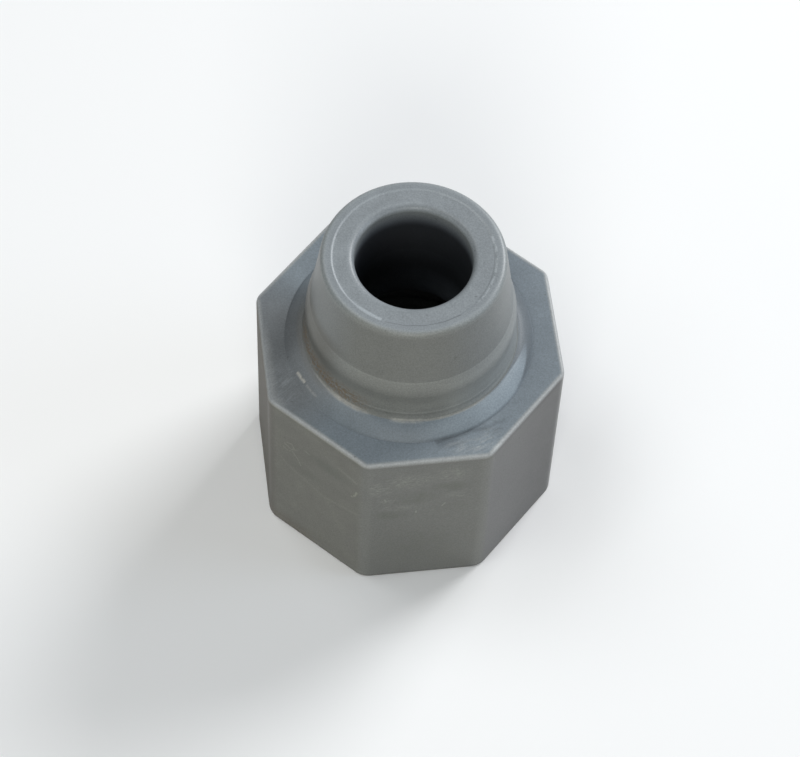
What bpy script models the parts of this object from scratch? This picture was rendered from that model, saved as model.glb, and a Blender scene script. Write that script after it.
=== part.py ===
"""A tubing nut, moulded in one piece of grey acetal.

An octagonal wrench body stands on its open, internally threaded end. A round collar on its top
face carries a tapered snout, and the tube passes down the snout's bore into the threaded socket.

Units are metres. The nut's axis is +Z, the origin is the centre of its flat open end, and one
wrench flat faces -Y. The wall is one closed surface: closed loops of points, all with the same
number of columns, go up the outside, down the bore and back out of the socket.
"""

import math

import bmesh
import bpy

MM = 0.001
INCH = 25.4 * MM

# Octagonal wrench body
SIDES = 8
ACROSS_FLATS = 1.0 * INCH
BODY_HEIGHT = 0.75 * INCH
FLAT_DRAFT = math.radians(0.25)
CORNER_ROUND_TOP = 1.35 * MM
CORNER_ROUND_BOTTOM = 1.9 * MM
TOP_EDGE_ROUND = 0.3 * MM
BOTTOM_EDGE_ROUND = 0.2 * MM

# Collar on the body's top face, and the crease where the snout grows out of it
COLLAR_RADIUS = 10.65 * MM
COLLAR_RISE = 1.0 * MM
COLLAR_ROLL = 1.6
CREASE_RADIUS = 9.24 * MM

# Snout: a hollowed neck, a soft shoulder and a tapered cone. Heights are above the body
LEDGE_HEIGHT = 1.82 * MM
LEDGE_RADIUS = 9.0 * MM
NECK_FOOT_HEIGHT = 1.95 * MM
NECK_HOLLOW = 0.08 * MM
SHOULDER_HEIGHT = 4.1 * MM
SHOULDER_RADIUS = 8.95 * MM
CONE_FOOT_HEIGHT = 5.9 * MM
CONE_FOOT_RADIUS = 8.57 * MM
SNOUT_HEIGHT = 11.9 * MM
SNOUT_TAPER = math.radians(7.9)
RIM_ROUND = 0.5 * MM
WITNESS_RADIUS = 6.82 * MM
END_RECESS = 0.1 * MM
RECESS_STEP_WIDTH = 0.08 * MM

# Bore for a 3/8 inch tube
TUBE_DIAMETER = 0.375 * INCH
TUBE_CLEARANCE = 0.17 * MM
BORE_MOUTH_ROUND = 0.55 * MM
BORE_LENGTH = 12.25 * MM

# Ferrule seat under the bore
SEAT_RADIUS = 9.45 * MM
SEAT_ANGLE = math.radians(45)

# Internal thread: straight, right-handed, 14 turns to the inch
THREAD_PITCH = INCH / 14
THREAD_MAJOR_RADIUS = 10.65 * MM
THREAD_DEPTH = 1.0 * MM
THREAD_CREST = 1 / 8
THREAD_MIDDLE = 1 / 2
MOUTH_CHAMFER = 0.6 * MM
MOUTH_LAND = 0.3 * MM
RELIEF_LENGTH = 0.8 * MM

# How finely round forms are cut
CORNER_POINTS = 5
FLAT_POINTS = 3
ROUND_STEPS = 3

PER_SIDE = CORNER_POINTS + FLAT_POINTS
COLUMNS = SIDES * PER_SIDE
HALF_SIDE = math.pi / SIDES
TOP_APOTHEM = ACROSS_FLATS / 2
OVERALL_HEIGHT = BODY_HEIGHT + SNOUT_HEIGHT
BORE_RADIUS = TUBE_DIAMETER / 2 + TUBE_CLEARANCE
END_FACE_HEIGHT = OVERALL_HEIGHT - END_RECESS
BORE_FOOT_HEIGHT = END_FACE_HEIGHT - BORE_LENGTH
SEAT_HEIGHT = BORE_FOOT_HEIGHT - (SEAT_RADIUS - BORE_RADIUS) / math.tan(SEAT_ANGLE)
THREAD_BOTTOM = MOUTH_CHAMFER + MOUTH_LAND
THREAD_TOP = SEAT_HEIGHT - RELIEF_LENGTH


def column_angle(column):
    """The direction of a column, measured so that one flat faces -Y."""
    side, step = divmod(column, PER_SIDE)
    corner = (CORNER_POINTS - 1) / 2
    return 2 * HALF_SIDE * (side + 0.5 + (step - corner) / PER_SIDE)


def circle(radius, height):
    """A round loop, with one point for each column."""
    loop = []
    for column in range(COLUMNS):
        turn = column_angle(column)
        loop.append((radius * math.cos(turn), radius * math.sin(turn), height))
    return loop


def octagon(inset, height, level):
    """An octagonal loop with round corners. level sets the draft and the corner's rounding."""
    down = 1 - level / BODY_HEIGHT
    apothem = TOP_APOTHEM - (BODY_HEIGHT - level) * math.tan(FLAT_DRAFT) - inset
    rounding = CORNER_ROUND_TOP + (CORNER_ROUND_BOTTOM - CORNER_ROUND_TOP) * down - inset
    centre = (apothem - rounding) / math.cos(HALF_SIDE)
    half_flat = centre * math.sin(HALF_SIDE)
    loop = []
    for side in range(SIDES):
        corner = 2 * HALF_SIDE * (side + 0.5)
        for step in range(CORNER_POINTS):
            normal = corner + HALF_SIDE * (2 * step / (CORNER_POINTS - 1) - 1)
            x = centre * math.cos(corner) + rounding * math.cos(normal)
            y = centre * math.sin(corner) + rounding * math.sin(normal)
            loop.append((x, y, height))
        flat = corner + HALF_SIDE
        for step in range(FLAT_POINTS):
            along = half_flat * (2 * (step + 1) / (FLAT_POINTS + 1) - 1)
            x = apothem * math.cos(flat) - along * math.sin(flat)
            y = apothem * math.sin(flat) + along * math.cos(flat)
            loop.append((x, y, height))
    return loop


def arc(centre, radius, start, end, steps):
    """Points (radius, height) on an arc about a centre, from one angle to another."""
    points = []
    for step in range(steps + 1):
        turn = start + (end - start) * step / steps
        points.append((centre[0] + radius * math.cos(turn), centre[1] + radius * math.sin(turn)))
    return points


def body_loops():
    """The octagonal body, from its bottom land up to the edge of its top face."""
    loops = []
    for step in range(ROUND_STEPS + 1):
        turn = math.pi / 2 * step / ROUND_STEPS
        height = BOTTOM_EDGE_ROUND * (1 - math.sin(turn))
        inset = BOTTOM_EDGE_ROUND * (1 - math.cos(turn))
        loops.insert(0, octagon(inset, height, BOTTOM_EDGE_ROUND))
    edge = BODY_HEIGHT - TOP_EDGE_ROUND
    for step in range(ROUND_STEPS + 1):
        turn = math.pi / 2 * step / ROUND_STEPS
        height = edge + TOP_EDGE_ROUND * math.sin(turn)
        inset = TOP_EDGE_ROUND * (1 - math.cos(turn))
        loops.append(octagon(inset, height, edge))
    return loops


def collar_profile(steps=5):
    """The collar's rounded flank, from the body's top face up to the crease."""
    width = COLLAR_RADIUS - CREASE_RADIUS
    points = []
    for step in range(steps + 1):
        share = 1 - step / steps
        height = BODY_HEIGHT + COLLAR_RISE * (1 - share**COLLAR_ROLL)
        points.append((CREASE_RADIUS + width * share, height))
    return points


def neck_profile(steps=4):
    """The neck above the crease: a flare, a fine ledge and a shallow hollow below the shoulder."""
    foot = BODY_HEIGHT + NECK_FOOT_HEIGHT
    rise = SHOULDER_HEIGHT - NECK_FOOT_HEIGHT
    flare = LEDGE_HEIGHT - COLLAR_RISE
    points = []
    for step in range(1, steps):
        share = step / (steps - 1)
        radius = LEDGE_RADIUS + (CREASE_RADIUS - LEDGE_RADIUS) * (1 - share) ** 2
        points.append((radius, BODY_HEIGHT + COLLAR_RISE + flare * share))
    for step in range(steps + 1):
        share = step / steps
        radius = SHOULDER_RADIUS - NECK_HOLLOW * math.sin(share * math.pi)
        points.append((radius, foot + rise * share))
    return points


def shoulder_profile(steps=4):
    """The shoulder, which rolls over from its widest point to the foot of the cone."""
    rise = CONE_FOOT_HEIGHT - SHOULDER_HEIGHT
    points = []
    for step in range(1, steps + 1):
        share = step / steps
        radius = SHOULDER_RADIUS - (SHOULDER_RADIUS - CONE_FOOT_RADIUS) * share**2
        points.append((radius, BODY_HEIGHT + SHOULDER_HEIGHT + rise * share))
    return points


def tip_profile(steps=5):
    """The rounded rim, the end face with its fine step, and the rounded mouth of the bore."""
    height = OVERALL_HEIGHT - RIM_ROUND
    fall = (height - (BODY_HEIGHT + CONE_FOOT_HEIGHT)) * math.tan(SNOUT_TAPER)
    centre = (CONE_FOOT_RADIUS - fall - RIM_ROUND / math.cos(SNOUT_TAPER), height)
    points = arc(centre, RIM_ROUND, SNOUT_TAPER, math.pi / 2, steps)
    points.append((WITNESS_RADIUS, OVERALL_HEIGHT))
    points.append((WITNESS_RADIUS - RECESS_STEP_WIDTH, END_FACE_HEIGHT))
    mouth = (BORE_RADIUS + BORE_MOUTH_ROUND, END_FACE_HEIGHT - BORE_MOUTH_ROUND)
    return points + arc(mouth, BORE_MOUTH_ROUND, math.pi / 2, math.pi, steps)


def seat_profile():
    """The foot of the bore, the conical ferrule seat and the relief above the thread."""
    return [
        (BORE_RADIUS, BORE_FOOT_HEIGHT),
        (SEAT_RADIUS, SEAT_HEIGHT),
        (THREAD_MAJOR_RADIUS, SEAT_HEIGHT),
    ]


def mouth_profile():
    """The land below the thread and the chamfered mouth of the socket."""
    return [(THREAD_MAJOR_RADIUS, MOUTH_CHAMFER), (THREAD_MAJOR_RADIUS + MOUTH_CHAMFER, 0.0)]


def thread_radius(share, height):
    """The wall's radius at a share of one pitch, cut back by a chamfer at both ends."""
    flank = THREAD_MIDDLE - THREAD_CREST
    off_crest = abs((share + THREAD_MIDDLE) % 1 - THREAD_MIDDLE)
    rise = max(0.0, min(1.0, (off_crest - THREAD_CREST / 2) / flank))
    crest = THREAD_MAJOR_RADIUS - THREAD_DEPTH * (1 - rise)
    end = max(0.0, min(height - THREAD_BOTTOM, THREAD_TOP - height))
    return max(crest, THREAD_MAJOR_RADIUS - end)


def thread_rows():
    """Shares of one pitch at which the thread's profile turns: two on the crest, two in the root."""
    half = THREAD_CREST / 2
    return [half, THREAD_MIDDLE - half, THREAD_MIDDLE + half, 1 - half]


def add_loop(mesh, points):
    return [mesh.verts.new(point) for point in points]


def join_loops(mesh, first, second):
    """Faces between two loops of equal count."""
    count = len(first)
    for column in range(count):
        after = (column + 1) % count
        mesh.faces.new((first[column], first[after], second[after], second[column]))


def add_thread(mesh, upper, lower):
    """The helical wall between two loops. Rows climb one pitch in a turn and stop at the loops."""
    shares = thread_rows()
    near = THREAD_PITCH / COLUMNS / 2
    made = {}

    def vertex(column, row):
        turn, share = divmod(row, len(shares))
        climb = THREAD_PITCH * (turn + shares[share] + column / COLUMNS)
        height = THREAD_BOTTOM + climb
        column %= COLUMNS
        if height < THREAD_BOTTOM + near:
            return lower[column]
        if height > THREAD_TOP - near:
            return upper[column]
        key = (column, round(height / near))
        if key not in made:
            radius = thread_radius(shares[share], height)
            turn = column_angle(column)
            made[key] = mesh.verts.new((radius * math.cos(turn), radius * math.sin(turn), height))
        return made[key]

    turns = math.ceil((THREAD_TOP - THREAD_BOTTOM) / THREAD_PITCH) + 1
    for row in range(-2 * len(shares), turns * len(shares)):
        for column in range(COLUMNS):
            corners = [
                vertex(column, row),
                vertex(column, row + 1),
                vertex(column + 1, row + 1),
                vertex(column + 1, row),
            ]
            ring = [corner for place, corner in enumerate(corners) if corner is not corners[place - 1]]
            if len(ring) > 2:
                mesh.faces.new(ring)


def plastic():
    """Grey acetal with a satin skin."""
    material = bpy.data.materials.new("grey_acetal")
    material.use_nodes = True
    shader = material.node_tree.nodes["Principled BSDF"]
    shader.inputs["Base Color"].default_value = (0.2, 0.21, 0.215, 1.0)
    shader.inputs["Roughness"].default_value = 0.45
    shader.inputs["Metallic"].default_value = 0.0
    return material


def build_nut():
    """The whole nut as one closed mesh."""
    mesh = bmesh.new()
    profile = collar_profile() + neck_profile() + shoulder_profile() + tip_profile() + seat_profile()
    outline = body_loops() + [circle(*point) for point in profile]
    loops = [add_loop(mesh, points) for points in outline]
    for first, second in zip(loops, loops[1:]):
        join_loops(mesh, first, second)
    upper = add_loop(mesh, circle(THREAD_MAJOR_RADIUS, THREAD_TOP))
    lower = add_loop(mesh, circle(THREAD_MAJOR_RADIUS, THREAD_BOTTOM))
    join_loops(mesh, loops[-1], upper)
    add_thread(mesh, upper, lower)
    mouth = [add_loop(mesh, circle(*point)) for point in mouth_profile()]
    join_loops(mesh, lower, mouth[0])
    join_loops(mesh, mouth[0], mouth[1])
    join_loops(mesh, mouth[1], loops[0])
    bmesh.ops.recalc_face_normals(mesh, faces=mesh.faces)

    data = bpy.data.meshes.new("tubing_nut")
    mesh.to_mesh(data)
    mesh.free()
    data.shade_smooth()
    data.set_sharp_from_angle(angle=math.radians(30))
    data.materials.append(plastic())
    nut = bpy.data.objects.new("tubing_nut", data)
    bpy.context.scene.collection.objects.link(nut)
    return nut


for leftover in list(bpy.data.objects):
    bpy.data.objects.remove(leftover, do_unlink=True)
build_nut()
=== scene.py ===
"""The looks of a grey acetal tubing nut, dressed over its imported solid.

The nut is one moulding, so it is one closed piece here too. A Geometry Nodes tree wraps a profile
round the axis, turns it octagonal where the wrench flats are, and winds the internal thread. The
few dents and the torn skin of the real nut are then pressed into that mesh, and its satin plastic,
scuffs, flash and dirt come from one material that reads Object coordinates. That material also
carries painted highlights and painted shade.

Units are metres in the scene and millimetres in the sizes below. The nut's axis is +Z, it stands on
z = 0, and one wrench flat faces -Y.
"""

import math

import bpy
import numpy as np
from mathutils import Matrix, Vector


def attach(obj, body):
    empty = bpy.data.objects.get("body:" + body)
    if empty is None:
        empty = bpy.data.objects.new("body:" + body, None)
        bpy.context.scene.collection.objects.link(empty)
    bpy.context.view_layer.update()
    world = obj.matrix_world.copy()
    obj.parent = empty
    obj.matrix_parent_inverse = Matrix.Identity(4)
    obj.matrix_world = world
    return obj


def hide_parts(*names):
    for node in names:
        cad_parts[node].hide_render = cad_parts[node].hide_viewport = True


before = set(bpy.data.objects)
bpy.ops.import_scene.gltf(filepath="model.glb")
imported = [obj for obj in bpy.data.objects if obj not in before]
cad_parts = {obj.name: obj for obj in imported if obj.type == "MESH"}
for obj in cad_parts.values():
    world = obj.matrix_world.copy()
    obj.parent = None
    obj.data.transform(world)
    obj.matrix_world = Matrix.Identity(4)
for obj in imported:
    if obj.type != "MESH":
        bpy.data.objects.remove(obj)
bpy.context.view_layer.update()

MM = 0.001

# Wrench body
SIDES = 8
HALF_SIDE = math.pi / SIDES
APOTHEM = 12.7
BODY_HEIGHT = 19.05
FLAT_DRAFT = math.radians(0.25)
CORNER_ROUND_TOP = 1.35
CORNER_ROUND_BOTTOM = 1.9
TOP_EDGE_ROUND = 0.3
BOTTOM_EDGE_ROUND = 0.2

# Collar and snout
COLLAR_RADIUS = 10.65
COLLAR_RISE = 1.0
COLLAR_ROLL = 1.6
CREASE_RADIUS = 9.24
CREASE_HEIGHT = BODY_HEIGHT + COLLAR_RISE
COLLAR_DRIFT = 0.14
COLLAR_DRIFT_WAY = -122
LEDGE_HEIGHT = BODY_HEIGHT + 1.82
LEDGE_RADIUS = 9.0
NECK_FOOT_HEIGHT = BODY_HEIGHT + 1.95
NECK_HOLLOW = 0.08
SHOULDER_HEIGHT = BODY_HEIGHT + 4.1
SHOULDER_RADIUS = 8.95
CONE_FOOT_HEIGHT = BODY_HEIGHT + 5.9
CONE_FOOT_RADIUS = 8.57
TIP_HEIGHT = BODY_HEIGHT + 11.9
SNOUT_TAPER = math.radians(7.9)
RIM_ROUND = 0.5
WITNESS_RADIUS = 6.82
END_RECESS = 0.06

# Bore, ferrule seat and thread
BORE_RADIUS = 9.525 / 2 + 0.17
BORE_MOUTH_ROUND = 0.55
END_FACE_HEIGHT = TIP_HEIGHT - END_RECESS
BORE_FOOT_HEIGHT = END_FACE_HEIGHT - 12.25
SEAT_RADIUS = 9.45
SEAT_HEIGHT = BORE_FOOT_HEIGHT - (SEAT_RADIUS - BORE_RADIUS)
THREAD_PITCH = 25.4 / 14
THREAD_RADIUS = 10.65
THREAD_DEPTH = 1.0
THREAD_CREST_SHARE = 0.125
THREAD_SOFTNESS = 0.12
THREAD_BOTTOM = 0.9
THREAD_TOP = SEAT_HEIGHT - 0.8
MOUTH_CHAMFER = 0.6

# Marks pressed into the mesh. The scar's lines and bowl are in plan
SCAR_FOOT = ((0.45, -11.95), (1.05, -11.5), (1.3, -10.95), (1.9, -10.56))
SCAR_GROOVE = ((1.0, -10.85), (1.9, -10.56), (3.26, -10.3), (4.05, -10.0), (5.2, -9.92))
SCAR_END = ((5.2, -9.92), (6.08, -9.52), (6.87, -9.28))
SCAR_PRESSED = ((SCAR_FOOT, 0.45, 0.6), (SCAR_GROOVE, 0.6, 1.0), (SCAR_END, 0.45, 0.6))
SCAR_BOWL_CENTRE = (3.9, -11.3)
SCAR_BOWL_HALF = (3.0, 1.1)
SCAR_GROOVE_DEPTH = 0.08
SCAR_BOWL_DEPTH = 0.035
SCAR_RIDGE_DEPTH = 0.022
UNMARKED_RADIUS = 12.3

# Flash, as (direction, half angle where it starts, half angle where it is full), and the burr
FLASH_PLACES = ((-132, 13, 8), (-99, 8, 4))
FLASH_HEIGHT = 0.05
BURR_START = (154, 160)
BURR_STOP = (240, 239.2)
BURR_HEAVY = (215, 233)
BURR_TOP_HEIGHT = 0.035
BURR_FOOT_HEIGHT = 0.02

# Marks painted on the nut. A line is (points, width, strength), a patch (centre, half sizes,
# strength). Places are (x, y) on the top and end faces, and (along, height) on a wrench flat
SCAR_CUTS = (
    (SCAR_FOOT, 0.3, 0.4),
    (SCAR_GROOVE, 0.34, 1.0),
    (SCAR_END, 0.3, 0.7),
    (((5.95, -10.2), (6.32, -10.08), (6.62, -10.08)), 0.15, 0.8),
    (((1.0, -11.35), (3.6, -10.35)), 0.2, 0.35),
    (((1.3, -11.7), (2.93, -11.13), (4.77, -10.77)), 0.16, 0.3),
    (((4.7, -12.1), (5.43, -11.39), (6.1, -10.4)), 0.16, 0.3),
)
SCAR_TORN = (
    ((3.8, -11.45), (3.5, 1.2), 1.0),
    ((5.6, -10.6), (1.3, 1.0), 1.0),
)
MOULD_MARK = ((-3.1, -6.15), (-1.6, -6.65), (0.0, -6.83), (1.6, -6.65), (3.1, -6.1))
END_SPECKS = (
    ((4.56, -4.41), (0.16, 0.12), 1.0),
    ((0.35, -5.83), (0.14, 0.12), 1.0),
)
FRONT_HAZE = (
    ((-1.3, 16.0), (2.9, 1.7), 1.0),
    ((-4.1, 15.0), (1.7, 1.8), 0.9),
    ((2.2, 16.6), (2.2, 1.7), 0.75),
    ((2.5, 13.2), (1.4, 0.8), 0.7),
    ((-3.3, 13.1), (1.2, 0.7), 0.5),
    ((-1.9, 11.6), (2.4, 0.7), 0.45),
)
FRONT_STRIKES = (
    (((-0.77, 10.95), (-0.77, 10.65)), 0.13, 1.2),
    (((1.45, 11.5), (1.7, 11.9)), 0.12, 1.1),
    (((-3.55, 13.35), (-3.4, 12.95)), 0.12, 1.0),
    (((-3.5, 12.0), (-3.2, 12.0)), 0.1, 0.6),
    (((-2.4, 11.9), (-2.15, 11.8), (-1.5, 11.65)), 0.1, 0.5),
)
FRONT_SMUDGES = (
    ((-1.0, 13.2), (2.6, 1.3), 1.0),
    ((2.0, 14.6), (2.4, 1.1), 0.9),
    ((-2.8, 10.6), (2.4, 1.1), 0.8),
    ((2.4, 11.2), (2.2, 1.2), 0.45),
    ((0.0, 5.0), (5.5, 4.5), 0.35),
)
LEFT_STRIKES = (
    (((-3.2, 14.3), (-2.7, 14.5), (-2.4, 14.0), (-2.7, 13.6)), 0.14, 0.55),
    (((-3.5, 13.9), (-2.8, 13.6), (-2.1, 12.8), (-1.7, 12.0)), 0.14, 0.6),
    (((-2.6, 13.7), (-2.1, 14.1)), 0.13, 0.5),
    (((-1.2, 14.9), (-0.8, 14.8)), 0.2, 0.5),
    (((-3.6, 13.2), (-3.0, 13.1), (-2.7, 13.5)), 0.13, 0.45),
    (((-3.9, 11.3), (-3.3, 10.7)), 0.13, 0.35),
    (((4.4, 13.9), (4.25, 13.25), (3.85, 12.75)), 0.17, 1.0),
    (((2.4, 15.9), (4.3, 15.4)), 0.35, 0.25),
    (((-3.0, 10.6), (0.9, 9.4), (4.3, 10.2)), 0.4, 0.2),
)
LEFT_SMUDGES = (
    ((1.2, 14.6), (3.8, 1.3), 1.0),
    ((-1.2, 11.4), (3.4, 1.2), 0.8),
    ((2.5, 11.8), (2.0, 0.8), 0.5),
    ((-3.8, 17.0), (1.4, 1.4), 0.5),
)
FAR_LEFT_NICK = ((0.6, 4.1), (2.6, 3.9))

# Streaks on the collar, as lines through places (way in degrees, radius)
COLLAR_STREAKS = (
    (((-163.5, 10.4), (-156.5, 10.3)), 0.2, 1.2),
    (((-155, 10.32), (-147, 10.3)), 0.16, 0.4),
)

# Painted light and shade bands round the neck, as (height, half width, soft edge, strength)
NECK_LIGHT_AND_SHADE_BANDS = (
    (NECK_FOOT_HEIGHT + 0.8, 0.2, 0.4, 0.07),
    (LEDGE_HEIGHT - 0.01, 0.03, 0.05, 0.05),
    (CONE_FOOT_HEIGHT - 0.08, 0.04, 0.1, 0.08),
    (NECK_FOOT_HEIGHT + 0.6, 1.2, 0.5, 0.07),
    (CREASE_HEIGHT + 0.35, 0.25, 0.15, -0.12),
)

# Mesh: points round the nut, and rows of points on the parts of its profile
COLUMNS = 384
EDGE_STEPS = 5
ROUND_STEPS = 8
FLAT_STEPS = 24
TOP_FACE_STEPS = 18
COLLAR_STEPS = 12
NECK_STEPS = 5
HOLLOW_STEPS = 12
SHOULDER_STEPS = 9
CONE_STEPS = 13
END_FACE_STEPS = 6
BORE_STEPS = 12
SEAT_STEPS = 6
ROWS_IN_A_PITCH = 10
CORNER_CROWDING = 0.5
MERGE_DISTANCE = 2e-6
SHARP_ANGLE = math.radians(38)

# Studio
PICTURE_WIDTH = 800
SENSOR_WIDTH = 36
LAMP_DISTANCE = 0.6
LAMP_SIZE = 0.3
FLOOR_HALF = 1.5


class Value:
    """A number on a node's socket. An expression on values adds Math nodes to their tree."""

    def __init__(self, tree, socket):
        self.tree = tree
        self.socket = socket

    def __add__(self, other):
        return self.tree.math("ADD", self, other)

    def __radd__(self, other):
        return self.tree.math("ADD", other, self)

    def __sub__(self, other):
        return self.tree.math("SUBTRACT", self, other)

    def __rsub__(self, other):
        return self.tree.math("SUBTRACT", other, self)

    def __mul__(self, other):
        return self.tree.math("MULTIPLY", self, other)

    def __rmul__(self, other):
        return self.tree.math("MULTIPLY", other, self)

    def __truediv__(self, other):
        return self.tree.math("DIVIDE", self, other)

    def __pow__(self, other):
        return self.tree.math("POWER", self, other)

    def __abs__(self):
        return self.tree.math("ABSOLUTE", self)

    def __gt__(self, other):
        return self.tree.math("GREATER_THAN", self, other)

    def least(self, other):
        return self.tree.math("MINIMUM", self, other)

    def most(self, other):
        return self.tree.math("MAXIMUM", self, other)

    def clamp(self):
        return self.tree.value("ShaderNodeClamp", None, {"Value": self, "Min": 0.0, "Max": 1.0})

    def rise(self, start, end):
        """A smooth step from 0 at start to 1 at end. start may lie above end."""
        kind = {"interpolation_type": "SMOOTHSTEP"}
        sockets = {"From Min": start, "From Max": end}
        if start > end:
            sockets = {"From Min": end, "From Max": start, "To Min": 1.0, "To Max": 0.0}
        sockets["Value"] = self
        return self.tree.value("ShaderNodeMapRange", kind, sockets)

    def band(self, centre, half_width, soft):
        """1 within half_width of the centre, fading to 0 over soft."""
        return abs(self - centre).rise(half_width + soft, half_width)


class Tree:
    """Adds nodes to a shader tree or a geometry tree."""

    def __init__(self, tree):
        self.tree = tree

    def node(self, kind, settings=None, sockets=None):
        made = self.tree.nodes.new(kind)
        for name, setting in (settings or {}).items():
            setattr(made, name, setting)
        for key, value in (sockets or {}).items():
            socket = made.inputs[key]
            if isinstance(value, Value):
                self.tree.links.new(value.socket, socket)
            else:
                socket.default_value = value
        return made

    def value(self, kind, settings=None, sockets=None, output=0):
        return Value(self, self.node(kind, settings, sockets).outputs[output])

    def math(self, operation, *values):
        return self.value("ShaderNodeMath", {"operation": operation}, dict(enumerate(values)))

    def vectors(self, operation, first, second, output="Vector"):
        settings = {"operation": operation}
        return self.value("ShaderNodeVectorMath", settings, {0: first, 1: second}, output)

    def scaled(self, vector, scale):
        settings = {"operation": "SCALE"}
        return self.value("ShaderNodeVectorMath", settings, {"Vector": vector, "Scale": scale})

    def vector(self, x, y, z=0.0):
        return self.value("ShaderNodeCombineXYZ", None, {"X": x, "Y": y, "Z": z})


def even_shares(steps):
    """Even shares from 0 to 1."""
    return np.linspace(0, 1, steps + 1)


def profile_rows():
    """The moulding's profile, from the thread's foot round the outside to the thread's top.

    Each row is (circle, apothem, rounding, wrench, height) in millimetres. wrench is 1 where the
    loop is the octagon of that apothem and corner rounding, 0 where it is the circle, and between
    them on the faces that join the two. An edge has two rows, a few hundredths to each side of it.
    """
    rows = []

    def turned(radius, height):
        rows.append((radius, radius, 0.0, 0.0, height))

    def flats(inset, height, level):
        down = 1 - level / BODY_HEIGHT
        apothem = APOTHEM - (BODY_HEIGHT - level) * math.tan(FLAT_DRAFT) - inset
        rounding = CORNER_ROUND_TOP + (CORNER_ROUND_BOTTOM - CORNER_ROUND_TOP) * down - inset
        rows.append((apothem, apothem, rounding, 1.0, height))

    def face(radius, row, height, shares):
        for share in shares:
            rows.append((radius, row[1], row[2], share, height))

    def arc(radius, height, rounding, start, end):
        for step in range(ROUND_STEPS + 1):
            turn = start + (end - start) * step / ROUND_STEPS
            turned(radius + rounding * math.cos(turn), height + rounding * math.sin(turn))

    quarter = [math.pi / 2 * step / EDGE_STEPS for step in range(EDGE_STEPS + 1)]

    # Land, chamfered mouth and the flat end that the nut stands on
    turned(THREAD_RADIUS, THREAD_BOTTOM)
    turned(THREAD_RADIUS, MOUTH_CHAMFER + 0.05)
    turned(THREAD_RADIUS + 0.03, MOUTH_CHAMFER - 0.03)
    turned(THREAD_RADIUS + MOUTH_CHAMFER - 0.04, 0.04)
    turned(THREAD_RADIUS + MOUTH_CHAMFER + 0.05, 0.0)
    flats(BOTTOM_EDGE_ROUND, 0.0, BOTTOM_EDGE_ROUND)
    foot = rows.pop()
    face(THREAD_RADIUS + MOUTH_CHAMFER + 0.05, foot, 0.0, (0.2, 0.4, 0.6, 0.8))

    # Wrench flats, with their bottom and top edges rounded
    for turn in quarter:
        inset = BOTTOM_EDGE_ROUND * (1 - math.sin(turn))
        flats(inset, BOTTOM_EDGE_ROUND * (1 - math.cos(turn)), BOTTOM_EDGE_ROUND)
    edge = BODY_HEIGHT - TOP_EDGE_ROUND
    for share in even_shares(FLAT_STEPS)[1:-1]:
        level = BOTTOM_EDGE_ROUND + (edge - BOTTOM_EDGE_ROUND) * share
        flats(0.0, level, level)
    for turn in quarter:
        flats(TOP_EDGE_ROUND * (1 - math.cos(turn)), edge + TOP_EDGE_ROUND * math.sin(turn), edge)

    # Top face and collar
    rim = rows[-1]
    face(COLLAR_RADIUS + 0.06, rim, BODY_HEIGHT, np.linspace(1, 0, TOP_FACE_STEPS + 1)[1:])
    for share in np.linspace(1, 0, COLLAR_STEPS + 1):
        height = BODY_HEIGHT + COLLAR_RISE * (1 - share**COLLAR_ROLL)
        turned(CREASE_RADIUS + (COLLAR_RADIUS - CREASE_RADIUS) * share, height)

    # Neck, shoulder and cone
    for share in even_shares(NECK_STEPS)[1:]:
        radius = LEDGE_RADIUS + (CREASE_RADIUS - LEDGE_RADIUS) * (1 - share) ** 2
        turned(radius, CREASE_HEIGHT + (LEDGE_HEIGHT - 0.12 - CREASE_HEIGHT) * share)
    turned(LEDGE_RADIUS - 0.003, LEDGE_HEIGHT - 0.05)
    turned(LEDGE_RADIUS - 0.02, LEDGE_HEIGHT)
    turned(SHOULDER_RADIUS + 0.01, LEDGE_HEIGHT + 0.05)
    for share in even_shares(HOLLOW_STEPS):
        radius = SHOULDER_RADIUS - NECK_HOLLOW * math.sin(share * math.pi)
        turned(radius, NECK_FOOT_HEIGHT + (SHOULDER_HEIGHT - NECK_FOOT_HEIGHT) * share)
    for share in even_shares(SHOULDER_STEPS)[1:]:
        radius = SHOULDER_RADIUS - (SHOULDER_RADIUS - CONE_FOOT_RADIUS) * share**2
        turned(radius, SHOULDER_HEIGHT + (CONE_FOOT_HEIGHT - SHOULDER_HEIGHT) * share)
    cone_top = TIP_HEIGHT - RIM_ROUND
    slope = math.tan(SNOUT_TAPER)
    for share in even_shares(CONE_STEPS)[1:-1]:
        rise = (cone_top - CONE_FOOT_HEIGHT) * share
        turned(CONE_FOOT_RADIUS - rise * slope, CONE_FOOT_HEIGHT + rise)

    # Rim, end face with its witness step, and the bore's mouth
    centre = CONE_FOOT_RADIUS - (cone_top - CONE_FOOT_HEIGHT) * slope
    centre -= RIM_ROUND / math.cos(SNOUT_TAPER)
    arc(centre, cone_top, RIM_ROUND, SNOUT_TAPER, math.pi / 2)
    for share in (0.4, 0.75, 0.9):
        turned(centre + (WITNESS_RADIUS + 0.06 - centre) * share, TIP_HEIGHT)
    turned(WITNESS_RADIUS + 0.08, TIP_HEIGHT)
    turned(WITNESS_RADIUS + 0.03, TIP_HEIGHT - 0.01)
    turned(WITNESS_RADIUS - 0.06, END_FACE_HEIGHT + 0.01)
    turned(WITNESS_RADIUS - 0.11, END_FACE_HEIGHT)
    mouth = BORE_RADIUS + BORE_MOUTH_ROUND
    for share in even_shares(END_FACE_STEPS)[1:-1]:
        turned(WITNESS_RADIUS - 0.11 + (mouth - WITNESS_RADIUS + 0.11) * share, END_FACE_HEIGHT)
    bore_top = END_FACE_HEIGHT - BORE_MOUTH_ROUND
    arc(mouth, bore_top, BORE_MOUTH_ROUND, math.pi / 2, math.pi)

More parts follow.
